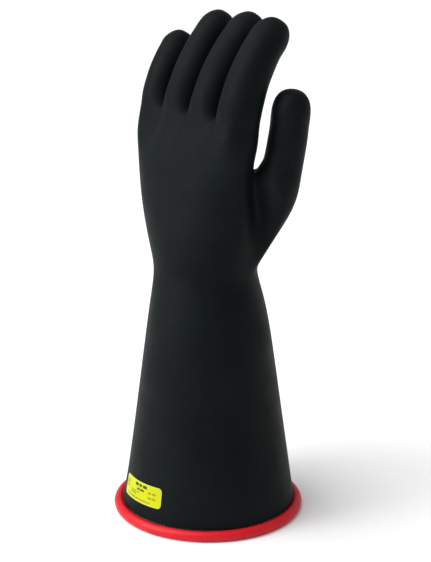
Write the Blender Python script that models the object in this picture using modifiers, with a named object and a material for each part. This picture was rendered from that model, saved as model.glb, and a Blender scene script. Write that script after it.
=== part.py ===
"""Electrical insulating glove for the left hand: two bonded rubber layers on a rolled cuff bead.

Metres, +Z up. The glove stands on its bead: the back of the hand faces -Y, the palm +Y and
the thumb +X. The origin is on the standing surface, under the middle of the whole glove.
The rubber is one flexible moulding. It is split here at its flex lines, the wrist and the
finger joints, into rigid pieces with a V notch at each line, as deep as the joint bends.
"""

import math

import bmesh
import bpy
import numpy as np
from mathutils import Matrix, Vector

OBJECT_NAME = "electrical_insulating_glove"

# Where the cuff's axis stands: the little finger reaches past the bead, so it is off centre.
CUFF_AXIS_X = 0.0012

# Rubber walls
OUTER_WALL = 0.0013
LAYER_GAP = 0.0006
INNER_WALL = 0.0010

# Rolled bead
BEAD_RADIUS = 0.0655
BEAD_TUBE = 0.0039
BEAD_FLAT = 0.0003
BEAD_SIDES = 10
BEAD_STEPS = 40
FIT_GAP = 0.0004

# Cross-sections of the cuff and hand: height, centre x, centre y, half width, half depth,
# and how square they are (2 is an ellipse). The lowest is the edge on the bead.
SECTIONS = (
    (0.0076, 0.0000, 0.0000, 0.0632, 0.0632, 2.0),
    (0.0300, 0.0005, 0.0005, 0.0595, 0.0595, 2.0),
    (0.0900, 0.0004, 0.0004, 0.0511, 0.0511, 2.0),
    (0.1500, -0.0002, 0.0000, 0.0427, 0.0424, 2.0),
    (0.1790, -0.0026, 0.0000, 0.0390, 0.0355, 2.0),
    (0.1970, -0.0038, -0.0010, 0.0425, 0.0340, 2.0),
    (0.2230, -0.0064, -0.0025, 0.0483, 0.0302, 2.1),
    (0.2560, -0.0088, -0.0042, 0.0512, 0.0232, 2.3),
)
WRIST = 4
COLUMNS = 20

# How often, and by what share of what is left, the cage is moved onto its design points
FIT_PASSES = 12
FIT_SHARE = 0.8

# Where the fingers join the hand and where they part: height, reach of each finger to the
# back and to the palm and of the valleys between them, as shares of the finger's radius,
# and how far the valleys are below that height.
KNUCKLE_ROW = dict(height=0.2745, back=1.05, palm=1.25, valley_back=0.98, valley_palm=1.15,
                   drop=0.0, valley_drop=0.0)
WEB_ROW = dict(height=0.2930, back=1.0, palm=1.0, valley_back=0.80, valley_palm=0.80,
               drop=0.0035, valley_drop=0.0060)
WEB_RISE = 0.0010

# Fingers: root, lean towards the palm, splay towards the thumb, length to the tip's centre,
# curl along that length, and radius at the root, middle and tip.
FINGERS = {
    "little": dict(root=(-0.0527, -0.0012, 0.2408), lean=-0.7, splay=-6.1, length=0.098,
                   curl=46.3, radii=(0.0118, 0.0121, 0.0117)),
    "ring": dict(root=(-0.0270, -0.0105, 0.2417), lean=7.6, splay=-2.4, length=0.119,
                 curl=43.4, radii=(0.0130, 0.0132, 0.0125)),
    "middle": dict(root=(0.0020, -0.0122, 0.2437), lean=6.1, splay=-0.5, length=0.119,
                   curl=47.1, radii=(0.0138, 0.0138, 0.0128)),
    "index": dict(root=(0.0319, -0.0080, 0.2482), lean=-1.0, splay=3.0, length=0.109,
                  curl=48.1, radii=(0.0139, 0.0152, 0.0131)),
    "thumb": dict(root=(0.0399, 0.0163, 0.2036), lean=8.1, splay=12.0, length=0.100,
                  curl=-7.4, radii=(0.0140, 0.0141, 0.0132)),
}
FINGER_ORDER = ("little", "ring", "middle", "index")
PATH_STEPS = 48
CURL_POWER = 1.5
RINGS_PER_FINGER = 3
FIRST_RING_ABOVE_WEB = 0.0065

# The thumb grows out of the palm's side: the swing of its plane, and its first rings as
# distance along the thumb, tilt, half lengths along the tilt away from the palm and towards
# it, and half width across it.
THUMB_SWING = 40.0
THUMB_COLUMNS = (1, 2, 3)
THUMB_ROWS = (5, 6, 7)
THUMB_ROOT_RINGS = (
    (0.040, 52.0, 0.0185, 0.0237, 0.0160),
    (0.058, 20.0, 0.0146, 0.0150, 0.0146),
)
THENAR_BULGE = {5: 0.0055, 6: 0.0030}

# Flex lines: where a finger's first hinge is above its web, the places of its hinges as
# shares of the finger beyond that, and each hinge's lowest and highest angle in degrees.
HINGE_ABOVE_WEB = 0.0090
THUMB_HINGE_START = 0.0660
HINGES = {"base": (0.0, -10, 30), "middle": (0.42, 0, 45), "tip": (0.70, 0, 30)}
THUMB_HINGES = {"base": (0.0, -10, 10), "tip": (0.45, 0, 30)}
BEND_TOWARDS = {
    "little": (0.04, 1.0, 0.0),
    "ring": (0.0, 1.0, 0.0),
    "middle": (-0.04, 1.0, 0.0),
    "index": (-0.18, 1.0, 0.0),
    "thumb": (0.1, 1.0, 0.0),
}
WRIST_RANGE = (-30, 30)
WRIST_REACH = 1.5
HINGE_OFFSET = 0.0040
HINGE_GAP = 0.0004
CUT_MARGIN = 0.0013

# Rating label on the cuff, at the back on the little-finger side. It rises to one end.
LABEL_LOW = 0.0166
LABEL_HIGH = 0.0315
LABEL_ANGLES = (-121.0, -77.6)
LABEL_RISE = 0.0020
LABEL_THICKNESS = 0.0005
LABEL_STEPS = 10


def clear_scene():
    for old in list(bpy.data.objects):
        bpy.data.objects.remove(old, do_unlink=True)


def make_collection(name):
    collection = bpy.data.collections.new(name)
    bpy.context.scene.collection.children.link(collection)
    return collection


def rubber_material(name, colour, roughness):
    material = bpy.data.materials.new(name)
    material.use_nodes = True
    shader = material.node_tree.nodes["Principled BSDF"]
    shader.inputs["Base Color"].default_value = (*colour, 1.0)
    shader.inputs["Roughness"].default_value = roughness
    shader.inputs["Metallic"].default_value = 0.0
    return material


def add_object(name, mesh, material, collection):
    piece = bpy.data.objects.new(name, mesh)
    mesh.materials.clear()
    mesh.materials.append(material)
    collection.objects.link(piece)
    return piece


def evaluated_mesh(piece):
    depsgraph = bpy.context.evaluated_depsgraph_get()
    depsgraph.update()
    return bpy.data.meshes.new_from_object(piece.evaluated_get(depsgraph))


# ---- the glove's form -------------------------------------------------------------------

def finger_point(name, distance):
    """Centre, direction and radius of a finger at a distance from its root."""
    finger = FINGERS[name]
    length = finger["length"]
    point = Vector(finger["root"])
    direction = None
    for step in range(PATH_STEPS + 1):
        share = step / PATH_STEPS * min(distance / length, 1.0)
        pitch = math.radians(finger["lean"] + finger["curl"] * share ** CURL_POWER)
        splay = math.radians(finger["splay"]) * (1.0 - 0.5 * share)
        flat = math.cos(pitch)
        direction = Vector((math.sin(splay) * flat, math.sin(pitch), math.cos(splay) * flat))
        direction.normalize()
        if step:
            point += (direction + previous) / 2.0 * min(distance, length) / PATH_STEPS
        previous = direction
    point += direction * max(distance - length, 0.0)
    radius = np.interp(min(distance / length, 1.0), (0.0, 0.5, 1.0), finger["radii"])
    return point, direction, float(radius)


def distance_at_height(name, height):
    low = 0.0
    high = FINGERS[name]["length"]
    for _ in range(30):
        middle = (low + high) / 2.0
        if finger_point(name, middle)[0].z < height:
            low = middle
        else:
            high = middle
    return low


def cross_frame(direction, reference):
    """The part of a reference direction square to a finger, and the direction across both."""
    across = (reference - direction * reference.dot(direction)).normalized()
    return across, direction.cross(across)


def section_point(row, column):
    height, centre_x, centre_y, half_width, half_depth, square = SECTIONS[row]
    angle = 2.0 * math.pi * column / COLUMNS
    cosine = math.cos(angle)
    sine = math.sin(angle)
    bulge = THENAR_BULGE.get(row, 0.0) if column in THUMB_COLUMNS else 0.0
    x = centre_x + math.copysign(abs(cosine) ** (2.0 / square), cosine) * half_width
    y = centre_y + math.copysign(abs(sine) ** (2.0 / square), sine) * half_depth
    swing = math.radians(THUMB_SWING)
    return Vector((x + bulge * math.cos(swing), y + bulge * math.sin(swing), height))


def finger_row_points(row):
    """Points around the four fingers, side by side, at one height.

    Odd numbers are on a finger's middle, even ones in the valleys and at the two ends. The
    webs are the points between two fingers, and outside the first and the last.
    """
    front = {}
    back = {}
    webs = {}
    drop = Vector((0.0, 0.0, -row["drop"]))
    valley_drop = Vector((0.0, 0.0, -row["valley_drop"]))
    places = {name: finger_point(name, distance_at_height(name, row["height"]))
              for name in FINGER_ORDER}
    for number, name in enumerate(FINGER_ORDER):
        centre, direction, radius = places[name]
        across, deep = cross_frame(direction, Vector((1.0, 0.0, 0.0)))
        front[2 * number + 1] = centre + deep * radius * row["palm"] + drop
        back[2 * number + 1] = centre - deep * radius * row["back"] + drop
        if name in (FINGER_ORDER[0], FINGER_ORDER[-1]):
            outwards = across if name == FINGER_ORDER[-1] else -across
            corner = 8 if name == FINGER_ORDER[-1] else 0
            diagonal = math.sqrt(0.5) * radius
            palm_reach = deep * diagonal * (1.0 + row["palm"]) / 2.0
            front[corner] = centre + outwards * diagonal + palm_reach + drop
            back[corner] = centre + outwards * diagonal - deep * diagonal * row["back"] + drop
            webs[corner // 2] = centre + outwards * radius + drop
        if name != FINGER_ORDER[-1]:
            middle = (centre + places[FINGER_ORDER[number + 1]][0]) / 2.0
            reach = deep * radius
            front[2 * number + 2] = middle + reach * row["valley_palm"] + valley_drop
            back[2 * number + 2] = middle - reach * row["valley_back"] + valley_drop
            webs[number + 1] = middle + Vector((0.0, 0.0, WEB_RISE))
    return front, back, webs


def finger_row(builder, row, with_webs):
    """A ring of cage points around the four fingers.

    Column 0 is on the thumb side. Columns 1 to 9 run over the palm side to the little
    finger, 10 is the little finger's outer side, and 11 to 19 come back over the back.
    """
    front, back, webs = finger_row_points(row)
    if not with_webs:
        webs = {0: webs[0], 4: webs[4]}
    front = {key: builder.add(point) for key, point in front.items()}
    back = {key: builder.add(point) for key, point in back.items()}
    webs = {key: builder.add(point) for key, point in webs.items()}
    ring = [webs[4]] + [front[key] for key in range(8, -1, -1)]
    ring += [webs[0]] + [back[key] for key in range(9)]
    return ring, front, back, webs


class CageBuilder:
    """Collects the points and faces of the coarse cage of the glove's surface."""

    def __init__(self):
        self.points = []
        self.faces = []

    def add(self, point):
        self.points.append(Vector(point))
        return len(self.points) - 1

    def bridge(self, lower, upper, skip=()):
        count = len(lower)
        for index in range(count):
            if index not in skip:
                after = (index + 1) % count
                self.faces.append((lower[index], lower[after], upper[after], upper[index]))

    def close_tip(self, ring, point):
        """Closes a ring of eight with four faces that meet at the tip."""
        tip = self.add(point)
        for index in range(0, 8, 2):
            last = (index + 2) % 8
            self.faces.append((ring[index], ring[index + 1], ring[last], tip))


def finger_ring(builder, name, distance, radius):
    centre, direction, _ = finger_point(name, distance)
    across, deep = cross_frame(direction, Vector((1.0, 0.0, 0.0)))
    ring = []
    for index in range(8):
        angle = math.radians(45.0 * index - 135.0)
        ring.append(builder.add(centre + (across * math.cos(angle) + deep * math.sin(angle)) * radius))
    return ring


def round_tip(builder, name, lower, make_ring):
    """Rounds off a finger past its tip's centre, as a dome."""
    finger = FINGERS[name]
    radius = finger["radii"][2]
    angle = math.radians(45.0)
    distance = finger["length"] + radius * math.sin(angle)
    ring = make_ring(distance, radius * math.cos(angle))
    builder.bridge(lower, ring)
    centre, direction, _ = finger_point(name, finger["length"])
    builder.close_tip(ring, centre + direction * radius)


def build_finger(builder, number, front, back, webs):
    name = FINGER_ORDER[number]
    left = 2 * number
    lower = [back[left], back[left + 1], back[left + 2], webs[number + 1],
             front[left + 2], front[left + 1], front[left], webs[number]]
    length = FINGERS[name]["length"]
    root = distance_at_height(name, WEB_ROW["height"])
    first = root + FIRST_RING_ABOVE_WEB
    for step in range(RINGS_PER_FINGER + 1):
        distance = first + (length - first) * step / RINGS_PER_FINGER
        ring = finger_ring(builder, name, distance, finger_point(name, distance)[2])
        builder.bridge(lower, ring)
        lower = ring
    round_tip(builder, name, lower,
              lambda place, radius: finger_ring(builder, name, place, radius))


def thumb_ring(builder, distance, tilt, outer_reach, inner_reach, half_width):
    centre, direction, _ = finger_point("thumb", distance)
    swing = math.radians(THUMB_SWING)
    outwards, side = cross_frame(direction, Vector((math.cos(swing), math.sin(swing), 0.0)))
    tilt = math.radians(tilt)
    along = outwards * math.cos(tilt) - direction * math.sin(tilt)
    ring = []
    for index in range(8):
        angle = math.radians(45.0 * index)
        reach = outer_reach if math.cos(angle) > 0.0 else inner_reach
        offset = along * reach * math.cos(angle) + side * half_width * math.sin(angle)
        ring.append(builder.add(centre + offset))
    return ring


def build_thumb(builder, rings):
    low, middle, high = (rings[row] for row in THUMB_ROWS)
    first, centre, last = THUMB_COLUMNS
    lower = [low[centre], low[last], middle[last], high[last],
             high[centre], high[first], middle[first], low[first]]
    length = FINGERS["thumb"]["length"]
    for row in THUMB_ROOT_RINGS:
        ring = thumb_ring(builder, *row)
        builder.bridge(lower, ring)
        lower = ring
    start = THUMB_ROOT_RINGS[-1][0]
    for step in (1, 2, 3):
        distance = start + (length - start) * step / 3.0
        radius = finger_point("thumb", distance)[2]
        ring = thumb_ring(builder, distance, 0.0, radius, radius, radius)
        builder.bridge(lower, ring)
        lower = ring
    round_tip(builder, "thumb", lower,
              lambda place, radius: thumb_ring(builder, place, 0.0, radius, radius, radius))


def build_cage():
    """The coarse cage: rings up the cuff and hand, then four fingers and the thumb."""
    builder = CageBuilder()
    rings = []
    for row in range(len(SECTIONS)):
        rings.append([builder.add(section_point(row, column)) for column in range(COLUMNS)])
    rings.append(finger_row(builder, KNUCKLE_ROW, with_webs=False)[0])
    web_ring, front, back, webs = finger_row(builder, WEB_ROW, with_webs=True)
    rings.append(web_ring)
    for row in range(len(rings) - 1):
        at_thumb = THUMB_ROWS[0] <= row < THUMB_ROWS[-1]
        skip = THUMB_COLUMNS[:-1] if at_thumb else ()
        builder.bridge(rings[row], rings[row + 1], skip)
    for number in range(4):
        build_finger(builder, number, front, back, webs)
    build_thumb(builder, rings)
    mesh = bpy.data.meshes.new("glove_cage")
    mesh.from_pydata([tuple(point) for point in builder.points], [], builder.faces)
    soft = bmesh.new()
    soft.from_mesh(mesh)
    loose = [vertex for vertex in soft.verts if not vertex.link_faces]
    bmesh.ops.delete(soft, geom=loose, context="VERTS")
    bmesh.ops.recalc_face_normals(soft, faces=soft.faces)
    soft.to_mesh(mesh)
    soft.free()
    mesh.update()
    return mesh


def smooth_surface(cage, levels, collection):
    """The smooth surface that passes through the cage's design points, open at the cuff."""
    guide = bpy.data.objects.new("glove_guide", cage)
    guide.hide_render = True
    guide.display_type = "WIRE"
    collection.objects.link(guide)
    smoothing = guide.modifiers.new("smooth", "SUBSURF")
    smoothing.levels = levels
    smoothing.render_levels = levels
    smoothing.use_limit_surface = True
    count = len(cage.vertices)
    targets = np.array([vertex.co for vertex in cage.vertices])
    positions = targets.copy()
    for _ in range(FIT_PASSES):
        cage.vertices.foreach_set("co", positions.ravel())
        cage.update()
        surface = evaluated_mesh(guide)
        reached = np.array([vertex.co for vertex in surface.vertices[:count]])
        bpy.data.meshes.remove(surface)
        positions += FIT_SHARE * (targets - reached)
    cage.vertices.foreach_set("co", positions.ravel())
    cage.update()
    return triangulated(evaluated_mesh(guide))


def triangulated(surface):
    """Moves a surface onto the cuff's axis and splits it, so both layers fold alike."""
    soft = bmesh.new()
    soft.from_mesh(surface)
    bmesh.ops.triangulate(soft, faces=soft.faces, quad_method="BEAUTY")
    bmesh.ops.translate(soft, verts=soft.verts, vec=(CUFF_AXIS_X, 0.0, 0.0))
    soft.to_mesh(surface)
    soft.free()
    return surface


def inset_surface(surface, depth):
    """A copy of an open surface moved inwards, with its open rim kept level."""
    inner = bmesh.new()
    inner.from_mesh(surface)
    inner.normal_update()
    moves = [vertex.normal * depth * vertex.calc_shell_factor() for vertex in inner.verts]
    for vertex, move in zip(inner.verts, moves):
        flat = vertex.is_boundary
        vertex.co -= Vector((move.x, move.y, 0.0 if flat else move.z))
    mesh = bpy.data.meshes.new("inset")
    inner.to_mesh(mesh)
    inner.free()
    return mesh


def shell(name, surface, thickness, material, collection):
    """A closed wall of even thickness, grown inwards from an open surface."""
    piece = add_object(name, surface, material, collection)
    solidify = piece.modifiers.new("wall", "SOLIDIFY")
    solidify.thickness = thickness
    solidify.offset = -1.0
    solidify.use_even_offset = True
    solidify.use_rim = True
    return piece


# ---- flex lines -------------------------------------------------------------------------

def hinge_frame(name, distance):
    """Point, direction, bending direction and radius of a finger's hinge."""
    point, direction, radius = finger_point(name, distance)
    bend, _ = cross_frame(direction, Vector(BEND_TOWARDS[name]))
    point = point + bend * HINGE_OFFSET + Vector((CUFF_AXIS_X, 0.0, 0.0))
    return point, direction, bend, radius


def wrist_frame():
    point = Vector((CUFF_AXIS_X + SECTIONS[WRIST][1], SECTIONS[WRIST][2], SECTIONS[WRIST][0]))
    return point, Vector((0.0, 0.0, 1.0)), Vector((0.0, 1.0, 0.0)), SECTIONS[WRIST][3]


def notch_cutter(name, frame, limits, reach, collection):
    """A V notch on both faces of the hinge, as wide as the joint's travel needs."""
    point, direction, bend, radius = frame
    low, high = (math.radians(abs(limit)) / 2.0 for limit in limits)
    slit = HINGE_GAP / 2.0
    outline = [(reach, slit + reach * math.tan(high)), (0.0, slit),
               (-reach, slit + reach * math.tan(low))]
    outline += [(deep, -along) for deep, along in reversed(outline)]
    corners = [bend * deep + direction * along for deep, along in outline]
    mesh = bpy.data.meshes.new(name)
    mesh.from_pydata([tuple(corner) for corner in corners], [], [tuple(range(len(corners)))])
    cutter = bpy.data.objects.new(name, mesh)
    cutter.location = point
    cutter.hide_render = True
    cutter.display_type = "WIRE"
    collection.objects.link(cutter)
    depth = cutter.modifiers.new("depth", "SOLIDIFY")
    depth.thickness = 2.0 * (radius + CUT_MARGIN)
    depth.offset = 0.0
    return cutter


def finger_hinges(name):
    """Distance along the finger and angle range of each hinge, by its name."""
    end = FINGERS[name]["length"] + FINGERS[name]["radii"][2]
    start = THUMB_HINGE_START
    hinges = THUMB_HINGES
    if name != "thumb":
        start = distance_at_height(name, WEB_ROW["height"]) + HINGE_ABOVE_WEB
        hinges = HINGES
    return {label: (start + (end - start) * share, low, high)
            for label, (share, low, high) in hinges.items()}


def make_notches(collection):
    reach = SECTIONS[WRIST][4] * WRIST_REACH
    notch_cutter("notch_wrist", wrist_frame(), WRIST_RANGE, reach, collection)
    for name in FINGERS:
        for label, (distance, low, high) in finger_hinges(name).items():
            frame = hinge_frame(name, distance)
            reach = frame[3] + HINGE_OFFSET + CUT_MARGIN
            notch_cutter(f"notch_{name}_{label}", frame, (low, high), reach, collection)


def segment_centres():
    """A point inside each rigid piece of the glove, by the piece's name."""
    axis = Vector((CUFF_AXIS_X, 0.0, 0.0))
    centres = {"cuff": axis + Vector((0.0, 0.0, 0.080)), "hand": axis + Vector((0.0, 0.0, 0.242))}
    for name, finger in FINGERS.items():
        hinges = finger_hinges(name)
        ends = [hinge[0] for hinge in hinges.values()] + [finger["length"] + finger["radii"][2]]
        for number, label in enumerate(hinges):
            middle = (ends[number] + ends[number + 1]) / 2.0
            centres[f"{name}_{label}"] = finger_point(name, middle)[0] + axis
    return centres


def piece_origins():
    """The point each rigid piece turns about, on its hinge, by the piece's name."""
    origins = {"cuff": Vector((CUFF_AXIS_X, 0.0, 0.0)), "hand": wrist_frame()[0]}
    for name in FINGERS:
        for label, hinge in finger_hinges(name).items():
            origins[f"{name}_{label}"] = hinge_frame(name, hinge[0])[0]
    return origins


def loose_groups(mesh):
    """Faces of a mesh by connected body."""
    solid = bmesh.new()
    solid.from_mesh(mesh)
    solid.verts.ensure_lookup_table()
    seen = set()
    groups = []
    for vertex in solid.verts:
        if vertex.index in seen:
            continue
        stack = [vertex]
        seen.add(vertex.index)
        members = set()
        while stack:
            current = stack.pop()
            members.add(current.index)
            for edge in current.link_edges:
                other = edge.other_vert(current)
                if other.index not in seen:
                    seen.add(other.index)
                    stack.append(other)
        groups.append(members)
    solid.free()
    return groups


def body_from(mesh, members, name):
    body = bmesh.new()
    body.from_mesh(mesh)
    body.verts.ensure_lookup_table()
    doomed = [vertex for vertex in body.verts if vertex.index not in members]
    bmesh.ops.delete(body, geom=doomed, context="VERTS")
    result = bpy.data.meshes.new(name)
    body.to_mesh(result)
    body.free()
    return result


def split_at_flex_lines(layer, prefix, material, notches, collection):
    """Cuts a layer at every notch and gives each rigid piece its own object."""
    for notch in notches.objects:
        cut = layer.modifiers.new(notch.name, "BOOLEAN")
        cut.operation = "DIFFERENCE"
        cut.solver = "EXACT"
        cut.object = notch
    mesh = evaluated_mesh(layer)
    bpy.data.objects.remove(layer, do_unlink=True)
    centres = segment_centres()
    origins = piece_origins()
    for members in loose_groups(mesh):
        points = [mesh.vertices[index].co for index in members]
        corners = [(min(p[axis] for p in points), max(p[axis] for p in points)) for axis in range(3)]
        middle = Vector([(low + high) / 2.0 for low, high in corners])
        name = min(centres, key=lambda key: (centres[key] - middle).length)
        del centres[name]
        piece_mesh = body_from(mesh, members, f"{prefix}_{name}")
        piece_mesh.shade_smooth()
        piece_mesh.set_sharp_from_angle(angle=math.radians(35.0))
        piece_mesh.transform(Matrix.Translation(-origins[name]))
        piece = add_object(f"{prefix}_{name}", piece_mesh, material, collection)
        piece.location = origins[name]
    assert not centres, f"pieces not found: {sorted(centres)}"


# ---- bead and label ---------------------------------------------------------------------

def make_bead(material, collection):
    """The rolled edge: a turned ring with a narrow flat under it, where the glove stands."""
    profile = []
    for index in range(BEAD_SIDES):
        angle = -2.0 * math.pi * (index + 0.5) / BEAD_SIDES - math.pi / 2.0
        height = max(BEAD_TUBE * (1.0 + math.sin(angle)), BEAD_FLAT) - BEAD_FLAT
        profile.append((BEAD_RADIUS + BEAD_TUBE * math.cos(angle), 0.0, height))
    mesh = bpy.data.meshes.new("cuff_bead")
    loop = [(index, (index + 1) % BEAD_SIDES) for index in range(BEAD_SIDES)]
    mesh.from_pydata(profile, loop, [])
    bead = add_object("cuff_bead", mesh, material, collection)
    bead.location = (CUFF_AXIS_X, 0.0, 0.0)
    turn = bead.modifiers.new("turn", "SCREW")
    turn.axis = "Z"
    turn.angle = 2.0 * math.pi
    turn.steps = BEAD_STEPS
    turn.render_steps = BEAD_STEPS
    turn.use_merge_vertices = True
    turn.merge_threshold = 0.0001
    turn.use_smooth_shade = True
    return bead


def cuff_radius(height):
    heights = [section[0] for section in SECTIONS[:WRIST]]
    radii = [section[3] for section in SECTIONS[:WRIST]]
    return float(np.interp(height, heights, radii))


def make_label(material, collection):
    """A thin label that follows the cuff's cone."""
    patch = bmesh.new()
    first, last = (math.radians(angle) for angle in LABEL_ANGLES)
    rows = []
    for height in (LABEL_LOW, LABEL_HIGH):
        radius = cuff_radius(height) + FIT_GAP + LABEL_THICKNESS
        row = []
        for step in range(LABEL_STEPS + 1):
            share = step / LABEL_STEPS
            turn = first + (last - first) * share
            row.append(patch.verts.new((radius * math.cos(turn) + CUFF_AXIS_X, radius * math.sin(turn),
                                        height + LABEL_RISE * (share - 0.5))))
        rows.append(row)
    for step in range(LABEL_STEPS):
        patch.faces.new((rows[0][step], rows[0][step + 1], rows[1][step + 1], rows[1][step]))
    mesh = bpy.data.meshes.new("rating_label")
    patch.to_mesh(mesh)
    patch.free()
    piece = add_object("rating_label", mesh, material, collection)
    solidify = piece.modifiers.new("film", "SOLIDIFY")
    solidify.thickness = LABEL_THICKNESS
    solidify.offset = -1.0
    return piece


def build():
    clear_scene()
    parts = make_collection(OBJECT_NAME)
    notches = make_collection("notches")
    guides = make_collection("guides")
    black = rubber_material("black_rubber", (0.012, 0.014, 0.015), 0.6)
    red = rubber_material("red_rubber", (0.78, 0.03, 0.06), 0.5)
    yellow = rubber_material("yellow_label", (0.85, 0.80, 0.02), 0.5)
    surface = smooth_surface(build_cage(), 1, guides)
    make_notches(notches)
    liner_surface = inset_surface(surface, OUTER_WALL + LAYER_GAP)
    outer = shell("outer_layer", surface, OUTER_WALL, black, parts)
    split_at_flex_lines(outer, "outer", black, notches, parts)
    liner = shell("liner_layer", liner_surface, INNER_WALL, red, parts)
    split_at_flex_lines(liner, "liner", red, notches, parts)
    make_bead(red, parts)
    make_label(yellow, parts)


build()
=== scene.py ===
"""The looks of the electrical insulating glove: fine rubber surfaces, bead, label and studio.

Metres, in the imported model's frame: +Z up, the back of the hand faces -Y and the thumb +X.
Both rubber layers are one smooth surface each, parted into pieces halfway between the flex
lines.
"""

import math

import bmesh
import bpy
import numpy as np
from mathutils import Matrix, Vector
from mathutils.bvhtree import BVHTree


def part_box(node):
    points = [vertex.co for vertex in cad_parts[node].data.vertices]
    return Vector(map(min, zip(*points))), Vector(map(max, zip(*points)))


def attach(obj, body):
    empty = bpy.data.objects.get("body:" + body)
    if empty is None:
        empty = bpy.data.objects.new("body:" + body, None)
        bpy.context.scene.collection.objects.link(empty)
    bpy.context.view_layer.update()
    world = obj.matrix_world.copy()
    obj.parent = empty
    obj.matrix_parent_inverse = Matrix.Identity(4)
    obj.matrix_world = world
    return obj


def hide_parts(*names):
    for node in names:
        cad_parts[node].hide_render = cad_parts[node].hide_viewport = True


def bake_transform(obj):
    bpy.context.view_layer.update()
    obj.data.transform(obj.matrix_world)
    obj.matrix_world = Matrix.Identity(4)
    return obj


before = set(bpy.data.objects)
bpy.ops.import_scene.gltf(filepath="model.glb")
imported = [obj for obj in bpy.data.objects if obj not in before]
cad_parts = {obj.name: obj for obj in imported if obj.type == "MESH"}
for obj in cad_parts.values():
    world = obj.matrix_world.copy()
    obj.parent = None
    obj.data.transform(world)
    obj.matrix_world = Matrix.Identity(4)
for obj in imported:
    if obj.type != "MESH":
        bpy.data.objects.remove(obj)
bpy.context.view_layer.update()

# Smooth surface: subdivision levels, and the passes and share by which the cage is moved
# until that surface goes through the points it was drawn at
SMOOTH_LEVELS = 3
FIT_PASSES = 12
FIT_SHARE = 0.8

# The cuff's axis stands in the middle of the bead.
BEAD_LOW, BEAD_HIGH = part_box("cuff_bead")
CUFF_AXIS_X = (BEAD_LOW.x + BEAD_HIGH.x) / 2.0

# Rubber walls: depths below the outer surface
OUTER_WALL = 0.0013
LINER_FACE = 0.0015
LINER_BACK = 0.0026

# Rolled bead
BEAD_RADIUS = 0.0655
BEAD_TUBE = 0.0039
BEAD_FLAT = 0.0003
BEAD_SIDES = 48
BEAD_STEPS = 180

# Groove where the roll ends: angle around the tube, depth, and width in radians
GROOVE_ANGLE = 118.0
GROOVE_DEPTH = 0.00045
GROOVE_WIDTH = 0.16

# Cross-sections of the cuff and hand: height, centre x, centre y, half width, half depth,
# and how square they are (2 is an ellipse). The lowest is the edge on the bead.
SECTIONS = (
    (0.0076, 0.0000, 0.0000, 0.0632, 0.0632, 2.0),
    (0.0300, 0.0005, 0.0005, 0.0595, 0.0595, 2.0),
    (0.0900, 0.0004, 0.0004, 0.0511, 0.0511, 2.0),
    (0.1500, -0.0002, 0.0000, 0.0427, 0.0424, 2.0),
    (0.1790, -0.0026, 0.0000, 0.0390, 0.0355, 2.0),
    (0.1970, -0.0038, -0.0010, 0.0425, 0.0340, 2.0),
    (0.2230, -0.0064, -0.0025, 0.0483, 0.0302, 2.1),
    (0.2560, -0.0088, -0.0042, 0.0512, 0.0232, 2.3),
)
COLUMNS = 20

# Where the fingers join the hand and where they part: height, reach of each finger to the
# back and to the palm and of the valleys between them, as shares of the finger's radius,
# and how far the valleys are below that height.
KNUCKLE_ROW = dict(height=0.2745, back=1.05, palm=1.25, valley_back=0.98, valley_palm=1.15,
                   drop=0.0, valley_drop=0.0)
WEB_ROW = dict(height=0.2930, back=1.0, palm=1.0, valley_back=0.80, valley_palm=0.80,
               drop=0.0035, valley_drop=0.0060)
WEB_RISE = 0.0010
SIDE_REACH = 0.95

# Fingers: root, lean towards the palm, splay towards the thumb, length to the tip's centre,
# curl along that length, and radius at the root, middle and tip.
FINGERS = {
    "little": dict(root=(-0.0527, -0.0012, 0.2408), lean=-0.7, splay=-6.1, length=0.098,
                   curl=46.3, radii=(0.0118, 0.0121, 0.0117)),
    "ring": dict(root=(-0.0270, -0.0105, 0.2417), lean=7.6, splay=-2.4, length=0.119,
                 curl=43.4, radii=(0.0130, 0.0132, 0.0125)),
    "middle": dict(root=(0.0020, -0.0122, 0.2437), lean=6.1, splay=-0.5, length=0.119,
                   curl=47.1, radii=(0.0138, 0.0138, 0.0128)),
    "index": dict(root=(0.0319, -0.0080, 0.2482), lean=-1.0, splay=2.6, length=0.109,
                  curl=48.1, radii=(0.0139, 0.0152, 0.0131)),
    "thumb": dict(root=(0.0399, 0.0163, 0.2036), lean=8.1, splay=12.0, length=0.100,
                  curl=-7.4, radii=(0.0140, 0.0141, 0.0132)),
}
FINGER_ORDER = ("little", "ring", "middle", "index")
PATH_STEPS = 48
CURL_POWER = 1.5
FIRST_RING_ABOVE_WEB = 0.0065

# The thumb grows out of the palm's side: the swing of its plane, and its first rings as
# distance along the thumb, tilt, half lengths along the tilt away from the palm and towards
# it, and half width across it.
THUMB_SWING = 40.0
THUMB_COLUMNS = (1, 2, 3)
THUMB_ROWS = (5, 6, 7)
THUMB_ROOT_RINGS = (
    (0.040, 46.0, 0.0172, 0.0232, 0.0160),
    (0.058, 20.0, 0.0146, 0.0150, 0.0146),
)
THENAR_BULGE = {5: 0.0055, 6: 0.0030}

# Hinges and the seams between pieces, as shares of the finger beyond its first hinge
HINGE_ABOVE_WEB = 0.0090
THUMB_HINGE_START = 0.0660
SEAMS = (0.21, 0.56)
THUMB_SEAM = 0.225
FINGER_HINGES = {"base": 0.0, "middle": 0.42, "tip": 0.70}
THUMB_HINGES = {"base": 0.0, "tip": 0.45}
SEAM_CLEARANCE = 0.0003

# Pieces of each finger, and all the parts that the rubber is divided into
FINGER_LABELS = {name: ("base", "middle", "tip") for name in FINGER_ORDER}
FINGER_LABELS["thumb"] = ("base", "tip")
REGIONS = ["hand"] + [f"{name}_{label}"
                      for name, labels in FINGER_LABELS.items() for label in labels]

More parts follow.
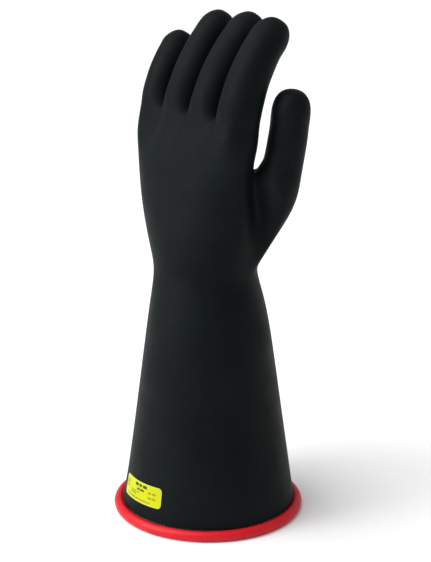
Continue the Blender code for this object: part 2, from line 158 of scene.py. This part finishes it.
# Rating label on the cuff: low and high edge, and its ends as angles around the cuff. It
# rises towards one end.
LABEL_LOW = 0.0166
LABEL_HIGH = 0.0315
LABEL_ANGLES = (-121.0, -77.6)
LABEL_RISE = 0.0020
LABEL_CORNER = 0.0030
LABEL_BORDER = 0.0007
LABEL_CUTS = (44, 20)
LABEL_FILM = 0.00035
LABEL_LIFT = 0.00005
FACE_LIFT = 0.00001
PRINT_FILM = 0.00005
PRINT_LIFT = 0.00012

# Camera: direction it looks from, distance, and the point that it looks at
CAMERA_AZIMUTH = 46.0
CAMERA_ELEVATION = 16.5
CAMERA_DISTANCE = 1.17
CAMERA_TARGET = Vector((CUFF_AXIS_X, 0.0, 0.179))
CAMERA_LENS = 105.0
CAMERA_SHIFT = (0.0133, -0.0160)

# Studio: a light's place is its azimuth, elevation and distance around the glove.
# White all round is the soft fill. It is seen at full white, like the photo's background.
FILL_STRENGTH = 0.50
FLOOR_REACH = 14.0
SUN_PLACE = (CAMERA_AZIMUTH - 80.0, 52.0, 3.0)
SUN_POWER = 2.8
SUN_SPREAD = 70.0
KEY_PLACE = (CAMERA_AZIMUTH - 70.0, 20.0, 1.5)
KEY_SIZE = (0.6, 1.2)
KEY_POWER = 11.0


# ---- materials --------------------------------------------------------------------------

class Shader:
    """A Principled material whose colour, roughness and bump come from procedural nodes."""

    def __init__(self, name):
        self.material = bpy.data.materials.new(name)
        self.material.use_nodes = True
        self.tree = self.material.node_tree
        self.principled = self.tree.nodes["Principled BSDF"]
        self.place = self.tree.nodes.new("ShaderNodeTexCoord").outputs["Object"]

    def set(self, **values):
        for name, value in values.items():
            self.principled.inputs[name.replace("_", " ")].default_value = value

    def noise(self, scale, detail=3.0, roughness=0.55, stretch=(1.0, 1.0, 1.0)):
        mapping = self.tree.nodes.new("ShaderNodeMapping")
        mapping.inputs["Scale"].default_value = stretch
        self.tree.links.new(self.place, mapping.inputs["Vector"])
        texture = self.tree.nodes.new("ShaderNodeTexNoise")
        texture.inputs["Scale"].default_value = scale
        texture.inputs["Detail"].default_value = detail
        texture.inputs["Roughness"].default_value = roughness
        self.tree.links.new(mapping.outputs["Vector"], texture.inputs["Vector"])
        return texture.outputs["Fac"]

    def ramp(self, source, stops):
        """Colours or greys along a value: ((position, colour), ...)."""
        node = self.tree.nodes.new("ShaderNodeValToRGB")
        elements = node.color_ramp.elements
        while len(elements) < len(stops):
            elements.new(0.5)
        for element, (position, colour) in zip(elements, stops):
            element.position = position
            element.color = (*colour, 1.0)
        self.tree.links.new(source, node.inputs["Fac"])
        return node.outputs["Color"]

    def mix(self, amount, source, colour):
        """From a source's colours to one colour, as the amount goes from 0 to 1."""
        node = self.tree.nodes.new("ShaderNodeMix")
        node.data_type = "RGBA"
        self.tree.links.new(amount, node.inputs["Factor"])
        self.tree.links.new(source, node.inputs[6])
        node.inputs[7].default_value = (*colour, 1.0)
        return node.outputs[2]

    def span(self, source, low, high):
        """A value from low to high as the source goes from 0.3 to 0.7, a noise's usual span."""
        node = self.tree.nodes.new("ShaderNodeMapRange")
        node.inputs["From Min"].default_value = 0.3
        node.inputs["From Max"].default_value = 0.7
        node.inputs["To Min"].default_value = low
        node.inputs["To Max"].default_value = high
        self.tree.links.new(source, node.inputs["Value"])
        return node.outputs["Result"]

    def link(self, source, name):
        self.tree.links.new(source, self.principled.inputs[name])

    def bump(self, heights):
        """Bumps, coarse to fine: ((source, strength, depth), ...)."""
        normal = None
        for source, strength, depth in heights:
            node = self.tree.nodes.new("ShaderNodeBump")
            node.inputs["Strength"].default_value = strength
            node.inputs["Distance"].default_value = depth
            self.tree.links.new(source, node.inputs["Height"])
            if normal is not None:
                self.tree.links.new(normal, node.inputs["Normal"])
            normal = node.outputs["Normal"]
        self.link(normal, "Normal")


def black_rubber():
    """Dipped black rubber: matte, with a fine grain, a faint bloom and light scuffs."""
    shader = Shader("black_rubber")
    bloom = shader.ramp(shader.noise(22.0, 4.0),
                        ((0.30, (0.0012, 0.0026, 0.0030)), (0.72, (0.0030, 0.0054, 0.0060))))
    dust = shader.ramp(shader.noise(520.0, 5.0, 0.7),
                       ((0.52, (0.0, 0.0, 0.0)), (0.80, (0.35, 0.35, 0.35))))
    shader.link(shader.mix(dust, bloom, (0.010, 0.013, 0.014)), "Base Color")
    shader.link(shader.span(shader.noise(60.0, 5.0), 0.50, 0.62), "Roughness")
    shader.set(Specular_IOR_Level=0.07, Sheen_Weight=0.010, Sheen_Roughness=0.45)
    shader.principled.inputs["Sheen Tint"].default_value = (0.75, 0.85, 0.85, 1.0)
    shader.bump((
        (shader.noise(70.0, 2.0, stretch=(1.0, 1.0, 0.45)), 0.25, 0.00035),
        (shader.noise(1500.0, 3.0), 0.22, 0.00006),
    ))
    return shader.material


def red_rubber():
    """Red rubber of the bead and the inner layer: satin, slightly uneven, with dull patches."""
    shader = Shader("red_rubber")
    colour = shader.ramp(shader.noise(45.0, 4.0),
                         ((0.28, (0.48, 0.003, 0.008)), (0.72, (0.58, 0.006, 0.016))))
    specks = shader.ramp(shader.noise(900.0, 4.0, 0.7),
                         ((0.55, (0.0, 0.0, 0.0)), (0.85, (0.30, 0.30, 0.30))))
    shader.link(shader.mix(specks, colour, (0.62, 0.04, 0.055)), "Base Color")
    shader.link(shader.span(shader.noise(130.0, 4.0), 0.36, 0.50), "Roughness")
    shader.set(Specular_IOR_Level=0.24)
    shader.bump((
        (shader.noise(140.0, 2.0), 0.25, 0.00020),
        (shader.noise(1400.0, 3.0), 0.18, 0.00005),
    ))
    return shader.material


def label_film(name, low, high, roughness=0.42):
    """Printed plastic film: even colour with a slight cloud, and a fine paper-like grain."""
    shader = Shader(name)
    shader.link(shader.ramp(shader.noise(160.0, 3.0), ((0.3, low), (0.7, high))), "Base Color")
    grain = shader.span(shader.noise(400.0, 3.0), roughness - 0.05, roughness + 0.06)
    shader.link(grain, "Roughness")
    shader.set(Specular_IOR_Level=0.10)
    shader.bump(((shader.noise(2200.0, 2.0), 0.15, 0.00003),))
    return shader.material


def pale_floor():
    shader = Shader("pale_floor")
    cloud = shader.ramp(shader.noise(3.0, 2.0),
                        ((0.3, (0.90, 0.90, 0.90)), (0.7, (0.93, 0.93, 0.93))))
    shader.link(cloud, "Base Color")
    shader.set(Roughness=0.9, Specular_IOR_Level=0.1)
    return shader.material


# ---- the glove's form -------------------------------------------------------------------

def finger_point(name, distance):
    """Centre, direction and radius of a finger at a distance from its root."""
    finger = FINGERS[name]
    length = finger["length"]
    point = Vector(finger["root"])
    for step in range(PATH_STEPS + 1):
        share = step / PATH_STEPS * min(distance / length, 1.0)
        pitch = math.radians(finger["lean"] + finger["curl"] * share ** CURL_POWER)
        splay = math.radians(finger["splay"]) * (1.0 - 0.5 * share)
        flat = math.cos(pitch)
        direction = Vector((math.sin(splay) * flat, math.sin(pitch), math.cos(splay) * flat))
        direction.normalize()
        if step:
            point += (direction + previous) / 2.0 * min(distance, length) / PATH_STEPS
        previous = direction
    point += direction * max(distance - length, 0.0)
    radius = np.interp(min(distance / length, 1.0), (0.0, 0.5, 1.0), finger["radii"])
    return point, direction, float(radius)


def distance_at_height(name, height):
    low = 0.0
    high = FINGERS[name]["length"]
    for _ in range(30):
        middle = (low + high) / 2.0
        if finger_point(name, middle)[0].z < height:
            low = middle
        else:
            high = middle
    return low


def hinge_distance(name, share):
    """Distance along a finger, as a share of what lies beyond its first hinge."""
    end = FINGERS[name]["length"] + FINGERS[name]["radii"][2]
    start = THUMB_HINGE_START
    if name != "thumb":
        start = distance_at_height(name, WEB_ROW["height"]) + HINGE_ABOVE_WEB
    return start + (end - start) * share


def cross_frame(direction, reference):
    """The part of a reference direction square to a finger, and the direction across both."""
    across = (reference - direction * reference.dot(direction)).normalized()
    return across, direction.cross(across)


def section_point(row, column):
    height, centre_x, centre_y, half_width, half_depth, square = SECTIONS[row]
    angle = 2.0 * math.pi * column / COLUMNS
    cosine = math.cos(angle)
    sine = math.sin(angle)
    bulge = THENAR_BULGE.get(row, 0.0) if column in THUMB_COLUMNS else 0.0
    x = centre_x + math.copysign(abs(cosine) ** (2.0 / square), cosine) * half_width
    y = centre_y + math.copysign(abs(sine) ** (2.0 / square), sine) * half_depth
    swing = math.radians(THUMB_SWING)
    return Vector((x + bulge * math.cos(swing), y + bulge * math.sin(swing), height))


def finger_row_points(row):
    """Points around the four fingers, side by side, at one height.

    Odd numbers are on a finger's middle, even ones in the valleys and at the two ends. The
    webs are the points between two fingers, and outside the first and the last.
    """
    front = {}
    back = {}
    webs = {}
    drop = Vector((0.0, 0.0, -row["drop"]))
    valley_drop = Vector((0.0, 0.0, -row["valley_drop"]))
    places = {name: finger_point(name, distance_at_height(name, row["height"]))
              for name in FINGER_ORDER}
    for number, name in enumerate(FINGER_ORDER):
        centre, direction, radius = places[name]
        across, deep = cross_frame(direction, Vector((1.0, 0.0, 0.0)))
        front[2 * number + 1] = centre + deep * radius * row["palm"] + drop
        back[2 * number + 1] = centre - deep * radius * row["back"] + drop
        if name in (FINGER_ORDER[0], FINGER_ORDER[-1]):
            outwards = across if name == FINGER_ORDER[-1] else -across
            corner = 8 if name == FINGER_ORDER[-1] else 0
            diagonal = math.sqrt(0.5) * radius
            palm_reach = deep * diagonal * (1.0 + row["palm"]) / 2.0
            front[corner] = centre + outwards * diagonal + palm_reach + drop
            back[corner] = centre + outwards * diagonal - deep * diagonal * row["back"] + drop
            webs[corner // 2] = centre + outwards * radius * SIDE_REACH + drop
        if name != FINGER_ORDER[-1]:
            middle = (centre + places[FINGER_ORDER[number + 1]][0]) / 2.0
            reach = deep * radius
            front[2 * number + 2] = middle + reach * row["valley_palm"] + valley_drop
            back[2 * number + 2] = middle - reach * row["valley_back"] + valley_drop
            webs[number + 1] = middle + Vector((0.0, 0.0, WEB_RISE))
    return front, back, webs


def finger_row(builder, row, with_webs):
    """A ring of cage points around the four fingers.

    Column 0 is on the thumb side. Columns 1 to 9 run over the palm side to the little
    finger, 10 is the little finger's outer side, and 11 to 19 come back over the back.
    """
    front, back, webs = finger_row_points(row)
    if not with_webs:
        webs = {0: webs[0], 4: webs[4]}
    front = {key: builder.add(point) for key, point in front.items()}
    back = {key: builder.add(point) for key, point in back.items()}
    webs = {key: builder.add(point) for key, point in webs.items()}
    ring = [webs[4]] + [front[key] for key in range(8, -1, -1)]
    ring += [webs[0]] + [back[key] for key in range(9)]
    return ring, front, back, webs


class CageBuilder:
    """Collects the points and faces of the coarse cage, and which piece each face is in."""

    def __init__(self):
        self.points = []
        self.faces = []
        self.regions = []
        self.region = "hand"

    def add(self, point):
        self.points.append(Vector(point))
        return len(self.points) - 1

    def add_face(self, corners):
        self.faces.append(corners)
        self.regions.append(REGIONS.index(self.region))

    def bridge(self, lower, upper, skip=()):
        count = len(lower)
        for index in range(count):
            if index not in skip:
                after = (index + 1) % count
                self.add_face((lower[index], lower[after], upper[after], upper[index]))

    def close_tip(self, ring, point):
        """Closes a ring of eight with four faces that meet at the tip."""
        tip = self.add(point)
        for index in range(0, 8, 2):
            last = (index + 2) % 8
            self.add_face((ring[index], ring[index + 1], ring[last], tip))


def finger_ring(builder, name, distance, radius):
    centre, direction, _ = finger_point(name, distance)
    across, deep = cross_frame(direction, Vector((1.0, 0.0, 0.0)))
    ring = []
    for index in range(8):
        angle = math.radians(45.0 * index - 135.0)
        offset = (across * math.cos(angle) + deep * math.sin(angle)) * radius
        ring.append(builder.add(centre + offset))
    return ring


def thumb_ring(builder, distance, tilt, outer_reach, inner_reach, half_width):
    centre, direction, _ = finger_point("thumb", distance)
    swing = math.radians(THUMB_SWING)
    outwards, side = cross_frame(direction, Vector((math.cos(swing), math.sin(swing), 0.0)))
    tilt = math.radians(tilt)
    along = outwards * math.cos(tilt) - direction * math.sin(tilt)
    ring = []
    for index in range(8):
        angle = math.radians(45.0 * index)
        reach = outer_reach if math.cos(angle) > 0.0 else inner_reach
        offset = along * reach * math.cos(angle) + side * half_width * math.sin(angle)
        ring.append(builder.add(centre + offset))
    return ring


def round_tip(builder, name, lower, make_ring):
    """Rounds off a finger past its tip's centre, as a dome."""
    finger = FINGERS[name]
    radius = finger["radii"][2]
    angle = math.radians(45.0)
    distance = finger["length"] + radius * math.sin(angle)
    ring = make_ring(distance, radius * math.cos(angle))
    builder.bridge(lower, ring)
    centre, direction, _ = finger_point(name, finger["length"])
    builder.close_tip(ring, centre + direction * radius)


def build_finger(builder, number, front, back, webs):
    """A finger's three pieces: rings at its seams, one ring between them, and the tip."""
    name = FINGER_ORDER[number]
    left = 2 * number
    lower = [back[left], back[left + 1], back[left + 2], webs[number + 1],
             front[left + 2], front[left + 1], front[left], webs[number]]
    first = distance_at_height(name, WEB_ROW["height"]) + FIRST_RING_ABOVE_WEB
    low_seam, high_seam = (hinge_distance(name, share) for share in SEAMS)
    end = FINGERS[name]["length"]
    plan = (("base", (first, low_seam)),
            ("middle", ((low_seam + high_seam) / 2.0, high_seam)),
            ("tip", ((high_seam + end) / 2.0, end)))
    for label, distances in plan:
        builder.region = f"{name}_{label}"
        for distance in distances:
            ring = finger_ring(builder, name, distance, finger_point(name, distance)[2])
            builder.bridge(lower, ring)
            lower = ring
    round_tip(builder, name, lower,
              lambda place, radius: finger_ring(builder, name, place, radius))


def build_thumb(builder, rings):
    low, middle, high = (rings[row] for row in THUMB_ROWS)
    first, centre, last = THUMB_COLUMNS
    lower = [low[centre], low[last], middle[last], high[last],
             high[centre], high[first], middle[first], low[first]]
    builder.region = "hand"
    for row in THUMB_ROOT_RINGS:
        ring = thumb_ring(builder, *row)
        builder.bridge(lower, ring)
        lower = ring
    seam = hinge_distance("thumb", THUMB_SEAM)
    end = FINGERS["thumb"]["length"]
    plan = (("base", (seam,)), ("tip", ((seam + end) / 2.0, end)))
    for label, distances in plan:
        builder.region = f"thumb_{label}"
        for distance in distances:
            radius = finger_point("thumb", distance)[2]
            ring = thumb_ring(builder, distance, 0.0, radius, radius, radius)
            builder.bridge(lower, ring)
            lower = ring
    round_tip(builder, "thumb", lower,
              lambda place, radius: thumb_ring(builder, place, 0.0, radius, radius, radius))


def build_cage():
    """The coarse cage: rings up the cuff and hand, then four fingers and the thumb."""
    builder = CageBuilder()
    rings = []
    for row in range(len(SECTIONS)):
        rings.append([builder.add(section_point(row, column)) for column in range(COLUMNS)])
    rings.append(finger_row(builder, KNUCKLE_ROW, with_webs=False)[0])
    web_ring, front, back, webs = finger_row(builder, WEB_ROW, with_webs=True)
    rings.append(web_ring)
    for row in range(len(rings) - 1):
        at_thumb = THUMB_ROWS[0] <= row < THUMB_ROWS[-1]
        skip = THUMB_COLUMNS[:-1] if at_thumb else ()
        builder.bridge(rings[row], rings[row + 1], skip)
    for number in range(len(FINGER_ORDER)):
        build_finger(builder, number, front, back, webs)
    build_thumb(builder, rings)
    mesh = bpy.data.meshes.new("glove_cage")
    mesh.from_pydata([tuple(point) for point in builder.points], [], builder.faces)
    regions = mesh.attributes.new("region", "INT", "FACE")
    regions.data.foreach_set("value", builder.regions)
    soft = bmesh.new()
    soft.from_mesh(mesh)
    loose = [vertex for vertex in soft.verts if not vertex.link_faces]
    bmesh.ops.delete(soft, geom=loose, context="VERTS")
    bmesh.ops.recalc_face_normals(soft, faces=soft.faces)
    soft.to_mesh(mesh)
    soft.free()
    mesh.update()
    return mesh


def evaluated_mesh(piece):
    depsgraph = bpy.context.evaluated_depsgraph_get()
    depsgraph.update()
    return bpy.data.meshes.new_from_object(piece.evaluated_get(depsgraph))


class Surface:
    """The glove's smooth outer surface as arrays: points, normals, faces and their regions."""

    def __init__(self, cage):
        guide = bpy.data.objects.new("glove_guide", cage)
        bpy.context.scene.collection.objects.link(guide)
        smoothing = guide.modifiers.new("smooth", "SUBSURF")
        smoothing.use_limit_surface = True
        smoothing.levels = 1
        self.pass_through_design_points(guide, cage)
        smoothing.levels = SMOOTH_LEVELS
        smoothing.render_levels = SMOOTH_LEVELS
        mesh = evaluated_mesh(guide)
        self.points = np.array([vertex.co for vertex in mesh.vertices]) + (CUFF_AXIS_X, 0.0, 0.0)
        self.normals = np.array([normal.vector for normal in mesh.vertex_normals])
        self.faces = np.array([face.vertices for face in mesh.polygons])
        self.regions = np.array([value.value for value in mesh.attributes["region"].data])
        bpy.data.objects.remove(guide, do_unlink=True)
        bpy.data.meshes.remove(mesh)
        self.tree = BVHTree.FromPolygons([tuple(point) for point in self.points],
                                         [tuple(face) for face in self.faces])

    def pass_through_design_points(self, guide, cage):
        """Moves the cage until the smooth surface goes through the points it was drawn at."""
        count = len(cage.vertices)
        targets = np.array([vertex.co for vertex in cage.vertices])
        positions = targets.copy()
        for _ in range(FIT_PASSES):
            cage.vertices.foreach_set("co", positions.ravel())
            cage.update()
            surface = evaluated_mesh(guide)
            reached = np.array([vertex.co for vertex in surface.vertices[:count]])
            bpy.data.meshes.remove(surface)
            positions += FIT_SHARE * (targets - reached)
        cage.vertices.foreach_set("co", positions.ravel())
        cage.update()

    def on_cuff(self, angle, height):
        """Point and outward direction on the cuff at an angle around it."""
        outwards = Vector((math.cos(angle), math.sin(angle), 0.0))
        start = Vector((CUFF_AXIS_X, 0.0, height)) + outwards * 0.2
        point, normal, _, _ = self.tree.ray_cast(start, -outwards)
        return point, normal if normal.dot(outwards) > 0.0 else -normal


# ---- rubber walls -----------------------------------------------------------------------

def add_piece(name, mesh, material):
    piece = bpy.data.objects.new(name, mesh)
    mesh.materials.append(material)
    bpy.context.scene.collection.objects.link(piece)
    return piece


def open_edges(faces):
    """Directed edges that only one of the faces has."""
    edges = {}
    for face in faces:
        for index in range(len(face)):
            edge = (int(face[index]), int(face[(index + 1) % len(face)]))
            edges[frozenset(edge)] = None if frozenset(edge) in edges else edge
    return [edge for edge in edges.values() if edge is not None]


def wall_mesh(name, surface, region, face_depth, back_depth):
    """A closed wall between two depths below the surface, with the whole surface's shading."""
    faces = surface.faces[surface.regions == REGIONS.index(region)]
    used, flat = np.unique(faces, return_inverse=True)
    faces = flat.reshape(faces.shape)
    points = surface.points[used]
    normals = surface.normals[used]
    count = len(used)
    front = points - normals * face_depth
    back = points - normals * back_depth
    shell = [tuple(face) for face in faces]
    shell += [tuple(int(corner) + count for corner in reversed(face)) for face in faces]
    walls = 2 * len(faces)
    shell += [(after, before, before + count, after + count)
              for before, after in open_edges(faces)]
    mesh = bpy.data.meshes.new(name)
    mesh.from_pydata(np.vstack((front, back)).tolist(), [],
                     [tuple(map(int, face)) for face in shell])
    mesh.update()
    both = np.vstack((normals, -normals))
    shading = []
    for face in mesh.polygons:
        for corner in face.vertices:
            shading.append(tuple(both[corner]) if face.index < walls else tuple(face.normal))
    mesh.polygons.foreach_set("use_smooth", [True] * len(mesh.polygons))
    mesh.normals_split_custom_set(shading)
    return mesh


def seam_points(surface, first, second):
    """The points that two regions share."""
    faces = surface.faces
    one = np.unique(faces[surface.regions == REGIONS.index(first)])
    other = np.unique(faces[surface.regions == REGIONS.index(second)])
    return surface.points[np.intersect1d(one, other)]


def finger_bend(surface, name, labels, index):
    """Start and end of a finger piece's bend, square to the finger at its hinge.

    It starts above all of the lower seam and ends below all of the upper one. The last piece's
    bend ends as far past its hinge.
    """
    label = labels[index]
    shares = THUMB_HINGES if name == "thumb" else FINGER_HINGES
    hinge, direction, _ = finger_point(name, hinge_distance(name, shares[label]))
    hinge = np.array(hinge) + (CUFF_AXIS_X, 0.0, 0.0)
    direction = np.array(direction)
    below = "hand" if index == 0 else f"{name}_{labels[index - 1]}"
    lower = seam_points(surface, below, f"{name}_{label}")
    start = ((lower - hinge) @ direction).max() + SEAM_CLEARANCE
    if index + 1 < len(labels):
        upper = seam_points(surface, f"{name}_{label}", f"{name}_{labels[index + 1]}")
        end = ((upper - hinge) @ direction).min() - SEAM_CLEARANCE
    else:
        end = -start
    return tuple(hinge + direction * start), tuple(hinge + direction * end)


def make_layer(surface, layer, face_depth, back_depth, material, node_prefix):
    """One rubber layer: the cuff and hand in one piece, and each finger's pieces."""
    mesh = wall_mesh(f"{layer}_cuff_and_hand", surface, "hand", face_depth, back_depth)
    hand = add_piece(mesh.name, mesh, material)
    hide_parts(f"{node_prefix}_cuff", f"{node_prefix}_hand")
    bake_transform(hand)
    for name, labels in FINGER_LABELS.items():
        for index, label in enumerate(labels):
            body = f"{name}_{label}"
            mesh = wall_mesh(f"{layer}_{body}", surface, body, face_depth, back_depth)
            piece = add_piece(mesh.name, mesh, material)
            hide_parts(f"{node_prefix}_{body}")
            start, end = finger_bend(surface, name, labels, index)
            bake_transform(piece)


# ---- bead and label ---------------------------------------------------------------------

def make_bead(material):
    """The rolled edge: a turned ring, flat underneath, with a groove where the roll ends."""
    profile = []
    groove = math.radians(GROOVE_ANGLE)
    for index in range(BEAD_SIDES):
        angle = -2.0 * math.pi * (index + 0.5) / BEAD_SIDES - math.pi / 2.0
        turn = (angle - groove + math.pi) % (2.0 * math.pi) - math.pi
        dip = GROOVE_DEPTH * math.exp(-(turn / GROOVE_WIDTH) ** 2)
        tube = BEAD_TUBE - dip
        height = max(BEAD_TUBE + tube * math.sin(angle), BEAD_FLAT) - BEAD_FLAT
        profile.append((BEAD_RADIUS + tube * math.cos(angle), 0.0, height))
    mesh = bpy.data.meshes.new("rolled_bead")
    edges = [(index, (index + 1) % BEAD_SIDES) for index in range(BEAD_SIDES)]
    mesh.from_pydata(profile, edges, [])
    bead = add_piece("rolled_bead", mesh, material)
    bead.location = (CUFF_AXIS_X, 0.0, 0.0)
    screw = bead.modifiers.new("turn", "SCREW")
    screw.axis = "Z"
    screw.steps = BEAD_STEPS
    screw.render_steps = BEAD_STEPS
    screw.use_merge_vertices = True
    screw.merge_threshold = 0.00005
    screw.use_smooth_shade = True
    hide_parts("cuff_bead")
    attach(bead, "cuff")


def rounded_outline(left, right, low, high, corner, arc_steps=8):
    """A rectangle with round corners, counterclockwise from its right side."""
    arcs = ((right - corner, high - corner, 0), (left + corner, high - corner, 90),
            (left + corner, low + corner, 180), (right - corner, low + corner, 270))
    points = []
    for centre_x, centre_y, start in arcs:
        for step in range(arc_steps + 1):
            angle = math.radians(start + 90.0 * step / arc_steps)
            points.append((centre_x + corner * math.cos(angle),
                           centre_y + corner * math.sin(angle), 0.0))
    return points


def cuff_sheet(name, surface, outlines, lift, thickness, material):
    """Flat outlines, in metres along the label and up it, laid on the cuff as a thin film."""
    sheet = bmesh.new()
    for outline in outlines:
        sheet.faces.new([sheet.verts.new(point) for point in outline])
    width = label_width()
    height = LABEL_HIGH - LABEL_LOW
    along, up = LABEL_CUTS
    cuts = [((width * step / along, 0.0, 0.0), (1.0, 0.0, 0.0)) for step in range(1, along)]
    cuts += [((0.0, height * step / up, 0.0), (0.0, 1.0, 0.0)) for step in range(1, up)]
    for place, across in cuts:
        bmesh.ops.bisect_plane(sheet, geom=sheet.verts[:] + sheet.edges[:] + sheet.faces[:],
                               plane_co=place, plane_no=across)
    first, last = (math.radians(angle) for angle in LABEL_ANGLES)
    for vertex in sheet.verts:
        share = vertex.co.x / width
        angle = first + (last - first) * share
        level = LABEL_LOW + vertex.co.y + LABEL_RISE * (share - 0.5)
        point, normal = surface.on_cuff(angle, level)
        vertex.co = point + normal * (lift + thickness)
    bmesh.ops.recalc_face_normals(sheet, faces=sheet.faces)
    mesh = bpy.data.meshes.new(name)
    sheet.to_mesh(mesh)
    sheet.free()
    face = mesh.polygons[0]
    outwards = face.center - Vector((CUFF_AXIS_X, 0.0, face.center.z))
    if face.normal.dot(outwards) < 0.0:
        mesh.flip_normals()
    piece = add_piece(name, mesh, material)
    film = piece.modifiers.new("film", "SOLIDIFY")
    film.thickness = thickness
    film.offset = -1.0
    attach(piece, "cuff")
    return piece


def label_width():
    span = math.radians(LABEL_ANGLES[1] - LABEL_ANGLES[0])
    return span * SECTIONS[1][3]


def bars(rows):
    """Print bars as outlines: (left, low, height, (widths...)) with gaps between the widths."""
    outlines = []
    for left, low, height, widths in rows:
        place = left
        for width in widths:
            outlines.append(rounded_outline(place, place + width, low, low + height,
                                            height * 0.25, 2))
            place += width + height * 0.7
    return outlines


def make_label(surface):
    """Yellow label with a pale border, and plain bars and blocks where the printing is."""
    width = label_width()
    height = LABEL_HIGH - LABEL_LOW
    pale = label_film("label_border", (0.47, 0.51, 0.07), (0.51, 0.55, 0.10))
    yellow = label_film("yellow_label", (0.43, 0.465, 0.0015), (0.48, 0.51, 0.003))
    ink = label_film("label_ink", (0.030, 0.032, 0.012), (0.060, 0.062, 0.020), 0.5)
    pale_ink = label_film("label_fine_ink", (0.20, 0.21, 0.012), (0.27, 0.28, 0.016), 0.5)
    sheet = rounded_outline(0.0, width, 0.0, height, LABEL_CORNER)
    base = cuff_sheet("label_base", surface, [sheet], LABEL_LIFT, LABEL_FILM, pale)
    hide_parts("rating_label")
    edge = LABEL_BORDER
    face = rounded_outline(edge, width - edge, edge, height - edge, LABEL_CORNER - edge)
    top = LABEL_LIFT + LABEL_FILM
    cuff_sheet("label_face", surface, [face], top + FACE_LIFT, PRINT_FILM, yellow)
    bold = bars((
        (0.0168, 0.0114, 0.0020, (0.0040, 0.0028, 0.0045)),
        (0.0196, 0.0086, 0.0013, (0.0030, 0.0044)),
    ))
    fine = bars((
        (0.0022, 0.0105, 0.0008, (0.0052,)), (0.0022, 0.0086, 0.0008, (0.0040,)),
        (0.0022, 0.0067, 0.0008, (0.0046,)), (0.0110, 0.0064, 0.0008, (0.0026, 0.0048, 0.0030)),
        (0.0110, 0.0047, 0.0008, (0.0042, 0.0030)),
        (0.0060, 0.0018, 0.0008, (0.0048, 0.0066, 0.0040, 0.0080, 0.0034)),
        (0.0325, 0.0086, 0.0014, (0.0030, 0.0036)), (0.0325, 0.0050, 0.0014, (0.0034, 0.0032)),
    ))
    lift = top + PRINT_FILM + PRINT_LIFT
    cuff_sheet("label_print", surface, bold, lift, PRINT_FILM, ink)
    cuff_sheet("label_fine_print", surface, fine, lift, PRINT_FILM, pale_ink)


# ---- studio -----------------------------------------------------------------------------

def aim(piece, place, target):
    piece.location = place
    piece.rotation_euler = (target - Vector(place)).to_track_quat("-Z", "Y").to_euler()


def seen_from(azimuth, elevation, distance):
    """A place around the glove: azimuth 0 is in front of the back of the hand."""
    azimuth = math.radians(azimuth)
    elevation = math.radians(elevation)
    flat = math.cos(elevation)
    back = Vector((math.sin(azimuth) * flat, -math.cos(azimuth) * flat, math.sin(elevation)))
    return CAMERA_TARGET + back * distance


def make_camera():
    camera = bpy.data.objects.new("camera", bpy.data.cameras.new("camera"))
    bpy.context.scene.collection.objects.link(camera)
    camera.data.lens = CAMERA_LENS
    camera.data.sensor_width = 36.0
    camera.data.shift_x, camera.data.shift_y = CAMERA_SHIFT
    aim(camera, seen_from(CAMERA_AZIMUTH, CAMERA_ELEVATION, CAMERA_DISTANCE), CAMERA_TARGET)
    bpy.context.scene.camera = camera


def add_light(name, kind, azimuth, elevation, distance, power):
    light = bpy.data.objects.new(name, bpy.data.lights.new(name, kind))
    bpy.context.scene.collection.objects.link(light)
    light.data.energy = power
    aim(light, seen_from(azimuth, elevation, distance), CAMERA_TARGET)
    return light.data


def soft_box(name, azimuth, elevation, distance, size, power):
    light = add_light(name, "AREA", azimuth, elevation, distance, power)
    light.shape = "RECTANGLE"
    light.size, light.size_y = size


def make_studio():
    bpy.context.scene.view_settings.view_transform = "Standard"
    floor_mesh = bpy.data.meshes.new("floor")
    corners = [(x * FLOOR_REACH, y * FLOOR_REACH, 0.0)
               for x, y in ((-1, -1), (1, -1), (1, 1), (-1, 1))]
    floor_mesh.from_pydata(corners, [], [(0, 1, 2, 3)])
    floor = bpy.data.objects.new("floor", floor_mesh)
    floor_mesh.materials.append(pale_floor())
    bpy.context.scene.collection.objects.link(floor)
    sky = add_light("high_left", "SUN", *SUN_PLACE, SUN_POWER)
    sky.angle = math.radians(SUN_SPREAD)
    soft_box("key_left", *KEY_PLACE, KEY_SIZE, KEY_POWER)
    make_surroundings()


def make_surroundings():
    """The world: a dim white that lights the glove, and full white where the camera sees it."""
    world = bpy.data.worlds.new("studio")
    bpy.context.scene.world = world
    world.use_nodes = True
    nodes = world.node_tree.nodes
    links = world.node_tree.links
    fill = nodes["Background"]
    fill.inputs["Color"].default_value = (1.0, 1.0, 1.0, 1.0)
    fill.inputs["Strength"].default_value = FILL_STRENGTH
    white = nodes.new("ShaderNodeBackground")
    white.inputs["Color"].default_value = (1.0, 1.0, 1.0, 1.0)
    seen = nodes.new("ShaderNodeLightPath").outputs["Is Camera Ray"]
    choice = nodes.new("ShaderNodeMixShader")
    links.new(seen, choice.inputs["Fac"])
    links.new(fill.outputs["Background"], choice.inputs[1])
    links.new(white.outputs["Background"], choice.inputs[2])
    links.new(choice.outputs["Shader"], nodes["World Output"].inputs["Surface"])


def main():
    make_camera()
    make_studio()
    surface = Surface(build_cage())
    black = black_rubber()
    red = red_rubber()
    make_layer(surface, "black", 0.0, OUTER_WALL, black, "outer")
    make_layer(surface, "red", LINER_FACE, LINER_BACK, red, "liner")
    make_bead(red)
    make_label(surface)


main()
